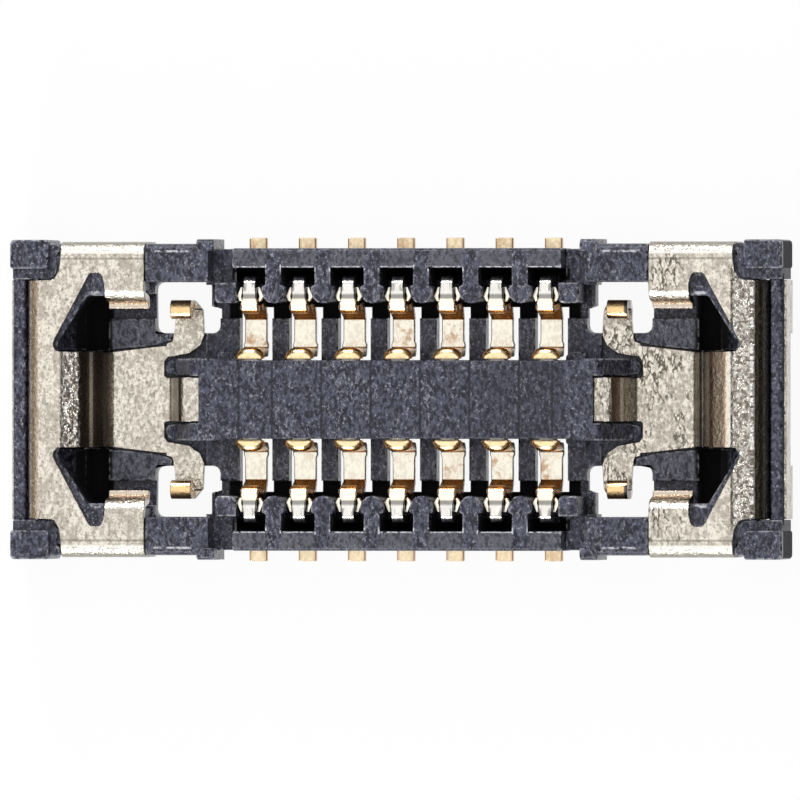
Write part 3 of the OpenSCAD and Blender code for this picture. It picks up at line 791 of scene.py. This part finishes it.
def copy_of_node(node: Piece, name: str, round_edge: float) -> Piece:
    """Copies a CAD node, merges its loose triangles into flat faces and rounds its edges.

    Args:
        node: The CAD node's object.
        name: The new piece's name.
        round_edge: The width of the rounding, in millimetres.

    Returns:
        The new piece, still in millimetres.
    """
    piece = node.copy()
    piece.data = node.data.copy()
    piece.name = name
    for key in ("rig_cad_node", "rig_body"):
        if key in piece:
            del piece[key]
    piece.parent = None
    bpy.context.scene.collection.objects.link(piece)
    piece.data.transform(Matrix.Scale(1 / MM, 4))
    pick(piece)
    switch("EDIT")
    bpy.ops.mesh.select_all(action="SELECT")
    bpy.ops.mesh.customdata_custom_splitnormals_clear()
    bpy.ops.mesh.remove_doubles(threshold=MERGE)
    bpy.ops.mesh.dissolve_limited(angle_limit=math.radians(FLAT_DEGREES))
    switch("OBJECT")
    weigh_edges(piece, round_edge)
    piece.data.materials.clear()
    for _ in range(2):
        piece.data.materials.append(None)
    bevel = {"width": round_edge, "segments": 3, "limit_method": "WEIGHT", "material": 1}
    with_modifier(piece, "BEVEL", bevel | {"use_clamp_overlap": False})
    mark_glint_edges(piece)
    return piece


def edge_way(face: Face, first: int, second: int) -> int:
    """Returns 1 if a face runs from the first corner to the second, and -1 if it runs the other way."""
    corners_round = list(face.vertices)
    after = corners_round[(corners_round.index(first) + 1) % len(corners_round)]
    return 1 if after == second else -1


def mark_glint_edges(piece: Piece, long_share: float = 0.8, side_glint: float = 0.3) -> None:
    """Writes a face attribute that sets the painted highlights: 1 in the middle of a rounded edge, less at
    its sides, 0 elsewhere.

    Args:
        piece: The mesh object, with material index 1 on the faces of its rounded edges.
        long_share: An edge counts as a long one from this share of its face's longest edge.
        side_glint: The value at the sides of a rounded edge.
    """
    mesh = piece.data
    flat_edges = {key for face in mesh.polygons if face.material_index == 0 for key in face.edge_keys}
    worn = mesh.attributes.new("worn", "FLOAT", "FACE").data
    for face in mesh.polygons:
        lengths = {(a, b): (mesh.vertices[a].co - mesh.vertices[b].co).length for a, b in face.edge_keys}
        limit = long_share * max(lengths.values())
        beside = any(key in flat_edges and length > limit for key, length in lengths.items())
        worn[face.index].value = 0.0 if face.material_index == 0 else side_glint if beside else 1.0
    for face in mesh.polygons:
        face.material_index = 0


def weigh_edges(piece: Piece, round_edge: float, sharp: float = 50.0, floor: float = 0.1) -> None:
    """Marks the outer sharp edges for rounding, and less so where a neighbouring edge is too short for it.

    Edges that run straight on into a tiny facet stay sharp, because the rounding can't turn there.

    Args:
        piece: The mesh object.
        round_edge: The full width of the rounding.
        sharp: The angle in degrees from which an edge counts as sharp.
        floor: Edges that reach below this height stay sharp.
    """
    mesh = piece.data
    # A facet's edge shorter than this is tiny, and a turn with a smaller sine than this runs straight on
    tiny, straight = 0.35 * round_edge, 0.3
    weights = mesh.attributes.new("bevel_weight_edge", "FLOAT", "EDGE").data
    faces_at: dict[tuple[int, int], list[Face]] = {}
    for face in mesh.polygons:
        for key in face.edge_keys:
            faces_at.setdefault(key, []).append(face)
    edges_at: dict[int, list[int]] = {}
    for edge in mesh.edges:
        for corner in edge.vertices:
            edges_at.setdefault(corner, []).append(edge.index)
    ways = [mesh.vertices[e.vertices[1]].co - mesh.vertices[e.vertices[0]].co for e in mesh.edges]
    for edge in mesh.edges:
        sides = faces_at.get(tuple(sorted(edge.vertices)), [])
        if len(sides) != 2 or sides[0].normal.angle(sides[1].normal, 0.0) < math.radians(sharp):
            continue
        along = edge_way(sides[0], edge.vertices[0], edge.vertices[1]) * ways[edge.index]
        deep = any(mesh.vertices[corner].co.z < floor for corner in edge.vertices)
        if deep or sides[0].normal.cross(sides[1].normal).dot(along) < 0:
            continue
        room = round_edge / ROUNDING_SHARE
        for corner in edge.vertices:
            for other in edges_at[corner]:
                turn = ways[edge.index].angle(ways[other], 0.0)
                if other != edge.index and math.radians(sharp) < turn < math.radians(180 - sharp):
                    room = min(room, ways[other].length)
                elif math.sin(turn) < straight and ways[other].length < tiny:
                    room = 0.0
        weights[edge.index].value = ROUNDING_SHARE * room / round_edge


# Sub-assemblies


@dataclass
class Housing:
    """The black moulding: floor, island, long walls with ribs, side blocks and corner posts."""

    finish: MouldedPlastic = field(default_factory=MouldedPlastic)
    edge: float = 0.016
    claw_middle: float = 0.235
    claw_sides: Range = (0.15, 0.3)
    claw_foot: float = 0.11
    claw_tips: tuple[Triple, ...] = ((1.62, 1.66, 0.86), (1.66, 1.68, 0.72), (1.68, 1.7, 0.56))

    def taper_claws(self, piece: Piece) -> None:
        """Narrows the tips of the four claws at the island's ends, in steps along each claw.

        Args:
            piece: The moulding, in millimetres.
        """
        near, far = self.claw_sides
        for end, row, (low, high, share) in product(End, Row, self.claw_tips):

            def in_tip(p: Vector) -> bool:
                """Says whether a place lies in this step of the claw's tip."""
                return low < p.x * end.value < high and near < p.y * row.value < far and p.z > self.claw_foot

            select_where(piece, in_tip)
            middle = (0, row.value * self.claw_middle, 0)
            switch("EDIT")
            bpy.ops.transform.resize(value=(1, share, 1), center_override=middle)
            switch("OBJECT")

    def build(self, frame: dict, effects: Effects) -> None:
        """Makes the moulding.

        Args:
            effects: The shared groups.
        """
        piece = copy_of_node(frame["nodes"]["housing"], "housing_moulding", self.edge)
        self.taper_claws(piece)
        smooth(piece, 48)
        to_metres(piece)
        dress(piece, self.finish.make(effects))
        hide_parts("housing")
        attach(piece, "root")
        log.info("housing_moulding: %d faces", len(piece.data.polygons))


@dataclass
class EndShell:
    """One metal shell, pressed deep from sheet, over an end of the housing."""

    end: End
    material: Material
    edge: float = 0.006

    def build(self, frame: dict) -> None:
        """Makes the shell.
        """
        side = self.end.name.lower()
        node = "end_shell_" + side
        piece = copy_of_node(frame["nodes"][node], "shell_" + side, self.edge)
        smooth(piece, 48)
        to_metres(piece)
        dress(piece, self.material)
        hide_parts(node)
        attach(piece, "root")
        log.info("%s: %d faces", piece.name, len(piece.data.polygons))


@dataclass(frozen=True)
class Fold:
    """A corner of the contact's folded centreline, with its bend radius and the strip's half-width there."""

    y: float
    z: float
    radius: float
    half: float


def rounded_centreline(folds: tuple[Fold, ...], degrees: float = 9.0) -> list[Fold]:
    """Replaces each corner that has a bend radius by stations along its arc.

    Args:
        folds: The corners.
        degrees: The largest turn between two stations.

    Returns:
        The stations, with a radius of 0.
    """
    stations = [folds[0]]
    for before, here, after in zip(folds, folds[1:], folds[2:]):
        if here.radius == 0:
            stations.append(here)
            continue
        corner = Vector((here.y, here.z))
        come = (corner - Vector((before.y, before.z))).normalized()
        go = (Vector((after.y, after.z)) - corner).normalized()
        turn = come.angle_signed(go)
        start = corner - come * here.radius * math.tan(abs(turn) / 2)
        side = 1 if turn < 0 else -1
        middle = start + Vector((-come.y, come.x)) * here.radius * side
        steps = max(2, math.ceil(math.degrees(abs(turn)) / degrees))
        for k in range(steps + 1):
            arm = start - middle
            arm.rotate(Matrix.Rotation(-turn * k / steps, 2))
            stations.append(Fold(middle.x + arm.x, middle.y + arm.y, 0, here.half))
    stations.append(folds[-1])
    return stations


@dataclass
class ContactRows:
    """Two rows of folded spring contacts. One is shaped and the others are copies with their own mesh."""

    material: Material
    count: int = 7
    pitch: float = PITCH
    sheet: float = 0.06
    columns: int = 12
    edge: float = 0.008
    dome: float = 0.05
    dome_drop: float = 0.0075
    head_reach: float = 0.4
    head_foot: float = 0.2
    head_rise: Range = (0.2, 0.25)
    lip: float = 0.279
    lip_fade: float = 0.055
    same_place: float = 2e-5
    same_column: float = 0.003
    barb_place: Triple = (0.074, 0.742, 0.435)
    barb_size: Triple = (0.04, 0.104, 0.05)
    barb_cut: float = 0.728
    barb_edge: float = 0.007
    barb_shifts: tuple[tuple[Range, float, float], ...] = (
        ((0.6, 0.7), 0.08, -0.018),
        ((0.78, 0.9), 0.0, -0.012),
        ((0.78, 0.9), 0.07, -0.012),
        ((0.72, 0.74), 0.0, 0.006),
    )
    folds: tuple[Fold, ...] = (
        Fold(1.14, 0.03, 0, 0.0625),
        Fold(1.03, 0.03, 0, 0.0625),
        Fold(0.99, 0.03, 0, 0.0675),
        Fold(0.836, 0.03, 0.045, 0.0675),
        Fold(0.836, 0.34, 0, 0.0625),
        Fold(0.836, 0.40, 0, 0.042),
        Fold(0.836, 0.48, 0.05, 0.046),
        Fold(0.782, 0.48, 0, 0.05),
        Fold(0.742, 0.48, 0, 0.05),
        Fold(0.722, 0.473, 0, 0.05),
        Fold(0.706, 0.48, 0, 0.052),
        Fold(0.624, 0.48, 0.04, 0.060),
        Fold(0.645, 0.40, 0, 0.066),
        Fold(0.656, 0.372, 0, 0.084),
        Fold(0.672, 0.30, 0.06, 0.0865),
        Fold(0.619, 0.20, 0, 0.083),
        Fold(0.585, 0.135, 0.045, 0.0785),
        Fold(0.412, 0.135, 0, 0.0785),
        Fold(0.388, 0.135, 0, 0.0875),
        Fold(0.329, 0.135, 0.048, 0.0875),
        Fold(0.333, 0.26, 0, 0.0795),
        Fold(0.338, 0.469, 0.032, 0.0795),
        Fold(0.279, 0.469, 0, 0.076),
    )

    def strip(self) -> Piece:
        """Extrudes the strip row by row along the centreline.

        Returns:
            The strip as a single sheet of faces.
        """
        stations = rounded_centreline(self.folds)
        first, second = stations[0], stations[1]
        deselect()
        middle = (0, (first.y + second.y) / 2, first.z)
        cuts = {"x_subdivisions": self.columns, "y_subdivisions": 1}
        bpy.ops.mesh.primitive_grid_add(size=1, location=middle, **cuts)
        piece = bpy.context.object
        piece.name = "contact_model"
        switch("EDIT")
        bpy.ops.transform.resize(value=(2 * first.half, first.y - second.y, 1))
        switch("OBJECT")
        bpy.ops.object.transform_apply(location=True, rotation=False, scale=True)
        select_where(piece, lambda place: place.y < middle[1])
        switch("EDIT")
        for last, here in zip(stations[1:], stations[2:]):
            step = {"value": (0, here.y - last.y, here.z - last.z)}
            bpy.ops.mesh.extrude_region_move(TRANSFORM_OT_translate=step)
            wider = (here.half / last.half, 1, 1)
            bpy.ops.transform.resize(value=wider, center_override=(0, here.y, here.z))
        switch("OBJECT")
        return piece

    def coin(self, piece: Piece) -> None:
        """Presses the dome of the spring's head into the strip: its sides lie lower and nearer the island.

        Args:
            piece: The strip.
        """
        places = [v.co for v in piece.data.vertices if v.co.y < self.head_reach and v.co.z > self.head_foot]
        for y, z in sorted({(round(place.y, 5), round(place.z, 5)) for place in places}):
            half = self.half_at(y, z)
            back_share, down_share = (min(1.0, (z - self.head_foot) / rise) for rise in self.head_rise)
            back_share *= min(1.0, max(0.0, (y - self.lip) / self.lip_fade))
            for step in range(1, self.columns // 2 + 1):
                share = step * 2 / self.columns

                def in_column(p: Vector) -> bool:
                    """Says whether a place lies in this row and in this column or its mirror image."""
                    in_row = abs(p.y - y) < self.same_place and abs(p.z - z) < self.same_place
                    return in_row and abs(abs(p.x) - share * half) < self.same_column

                back = self.dome * share**4 * back_share
                down = self.dome_drop * share**2 * down_share
                shift_where(piece, (0, -back, -down), in_column)

    def half_at(self, y: float, z: float) -> float:
        """Returns the strip's half-width at the station nearest to a place."""
        return min(rounded_centreline(self.folds), key=lambda s: (s.y - y) ** 2 + (s.z - z) ** 2).half

    def model(self) -> Piece:
        """Shapes one contact, with its middle at X = 0 and its tail towards +Y.

        Returns:
            The finished contact, still in millimetres.
        """
        piece = self.strip()
        self.coin(piece)
        pick(piece)
        switch("EDIT")
        bpy.ops.mesh.select_all(action="SELECT")
        bpy.ops.mesh.normals_make_consistent(inside=False)
        switch("OBJECT")
        with_modifier(piece, "SOLIDIFY", {"thickness": self.sheet, "offset": 0.0, "use_even_offset": True})
        bevel = {"width": self.edge, "segments": 2, "limit_method": "ANGLE", "angle_limit": math.radians(50)}
        with_modifier(piece, "BEVEL", bevel | {"use_clamp_overlap": False})
        barbs = [self.barb(side) for side in (-1, 1)]
        pick(piece)
        for barb in barbs:
            barb.select_set(True)
        bpy.ops.object.join()
        smooth(piece, 45)
        return piece

    def barb(self, side: int) -> Piece:
        """Makes the barb on one side of the loop.

        Args:
            side: 1 or -1.

        Returns:
            The barb.
        """
        x, y, z = self.barb_place
        deselect()
        bpy.ops.mesh.primitive_cube_add(size=1, location=(side * x, y, z))
        piece = bpy.context.object
        switch("EDIT")
        bpy.ops.transform.resize(value=self.barb_size)
        bpy.ops.mesh.select_all(action="SELECT")
        bpy.ops.mesh.bisect(plane_co=(0, self.barb_cut, 0), plane_no=(0, 1, 0))
        switch("OBJECT")
        bpy.ops.object.transform_apply(location=True, rotation=False, scale=True)
        for (low, high), inner, shift in self.barb_shifts:
            shift_where(piece, (side * shift, 0, 0), lambda p: low < p.y < high and abs(p.x) > inner)
        with_modifier(piece, "BEVEL", {"width": self.barb_edge, "segments": 2, "limit_method": "ANGLE"})
        return piece

    def build(self, frame: dict) -> None:
        """Makes the contacts.
        """
        model = self.model()
        for row in Row:
            for number in range(1, self.count + 1):
                name = f"contact_{row.name.lower()}{number}"
                piece = model.copy()
                piece.data = model.data.copy()
                piece.name = "plated_" + name
                bpy.context.scene.collection.objects.link(piece)
                x = (number - (self.count + 1) / 2) * self.pitch
                piece.data.transform(Matrix.Translation((x, 0, 0)) @ Matrix.Diagonal((1, row.value, 1, 1)))
                if row is Row.B:
                    piece.data.flip_normals()
                to_metres(piece)
                dress(piece, self.material)
                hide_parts(name)
                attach(piece, "root")
        bpy.data.objects.remove(model)
        log.info("contacts: %d in each of %d rows", self.count, len(Row))


# Studio


@dataclass(frozen=True)
class SoftBox:
    """A flat lamp that points at the object, in metres, with its radiance."""

    name: str
    place: Triple
    width: float
    depth: float
    light: float


@dataclass
class Studio:
    """The floor, the soft lamps, the world and the camera at the photograph's angle."""

    tilt: float = 7.9
    distance: float = 0.2
    lens: float = 1281.0
    sensor: float = 36.0
    clip: Range = (0.01, 5.0)
    aim: Triple = (0.034 * MM, -0.0035 * MM, 0.6 * MM)
    floor_size: float = 6.0
    floor_paint: Colour = (0.9, 0.9, 0.9, 1.0)
    floor_white: float = 0.93
    white: Colour = (1.0, 1.0, 1.0, 1.0)
    world_light: float = 0.1
    boxes: tuple[SoftBox, ...] = (
        SoftBox("box_overhead", (-0.05, 0.0, 0.1), 0.23, 0.2, 1.15),
        SoftBox("box_row_a_side", (-0.02, 0.13, 0.05), 0.03, 0.04, 30.0),
        SoftBox("box_row_b_side", (-0.02, -0.13, 0.05), 0.03, 0.04, 30.0),
    )

    def build(self) -> None:
        """Makes the whole studio."""
        self.floor()
        self.world()
        for box in self.boxes:
            self.lamp(box)
        self.camera()

    def background_ray(self, g: Graph) -> Socket:
        """Returns a mask of the rays that show the background: camera, glossy and transmission rays."""
        path = g.add("LightPath").outputs
        return g.maximum(path["Is Camera Ray"], path["Is Glossy Ray"], path["Is Transmission Ray"])

    def floor(self) -> None:
        """Makes the pale floor, which keeps a soft shadow."""
        deselect()
        bpy.ops.mesh.primitive_plane_add(size=self.floor_size, location=(0, 0, 0))
        floor = bpy.context.object
        floor.name = "studio_floor"
        material = bpy.data.materials.new("floor_white")
        material.use_nodes = True
        material.node_tree.nodes.clear()
        g = Graph(material.node_tree)
        paint = g.add("BsdfDiffuse", {}, {"Color": self.floor_paint})
        glow = g.add("Emission", {}, {"Color": self.white, "Strength": 1.0})
        share = g.math("MULTIPLY", self.background_ray(g), self.floor_white)
        mixed = g.add("MixShader", {}, {0: share, 1: paint.outputs[0], 2: glow.outputs[0]})
        g.add("OutputMaterial", {}, {"Surface": mixed.outputs[0]})
        dress(floor, material)

    def world(self) -> None:
        """Makes the plain world light. The floor fills every view, so the world itself isn't seen."""
        world = bpy.data.worlds.new("studio_world")
        bpy.context.scene.world = world
        world.use_nodes = True
        world.node_tree.nodes.clear()
        g = Graph(world.node_tree)
        sky = g.add("Background", {}, {"Color": self.white, "Strength": self.world_light})
        g.add("OutputWorld", {}, {"Surface": sky.outputs[0]})

    def lamp(self, box: SoftBox) -> None:
        """Makes one soft box. The overhead one stays level, and the others face the object."""
        place = Vector(box.place)
        level = place.z > place.xy.length
        turn = (0.0, 0.0, 0.0) if level else place.to_track_quat("Z", "Y").to_euler()
        deselect()
        bpy.ops.object.light_add(type="AREA", location=place, rotation=turn)
        lamp = bpy.context.object
        lamp.name = box.name
        lamp.data.shape = "RECTANGLE"
        lamp.data.size = box.width
        lamp.data.size_y = box.depth
        lamp.data.energy = box.light * math.pi * box.width * box.depth

    def camera(self) -> None:
        """Makes the camera, tilted towards the right-hand end."""
        angle = math.radians(self.tilt)
        away = Vector((math.sin(angle), 0.0, math.cos(angle))) * self.distance
        deselect()
        bpy.ops.object.camera_add(location=Vector(self.aim) + away, rotation=(0.0, angle, 0.0))
        camera = bpy.context.object
        camera.name = "photo_camera"
        camera.data.sensor_width = self.sensor
        camera.data.lens = self.lens
        camera.data.clip_start, camera.data.clip_end = self.clip
        bpy.context.scene.camera = camera


def main() -> None:
    """Builds the receptacle and the studio round it."""
    logging.basicConfig(level=logging.INFO, format="%(name)s: %(message)s")
    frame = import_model()
    bpy.context.scene.view_settings.view_transform = "Standard"
    effects = Effects()
    Housing().build(frame, effects)
    sheet = ShellSheet().make(effects)
    for end in End:
        EndShell(end, sheet).build(frame)
    ContactRows(ContactPlating().make(effects)).build(frame)
    Studio().build()


if __name__ == "__main__":
    main()
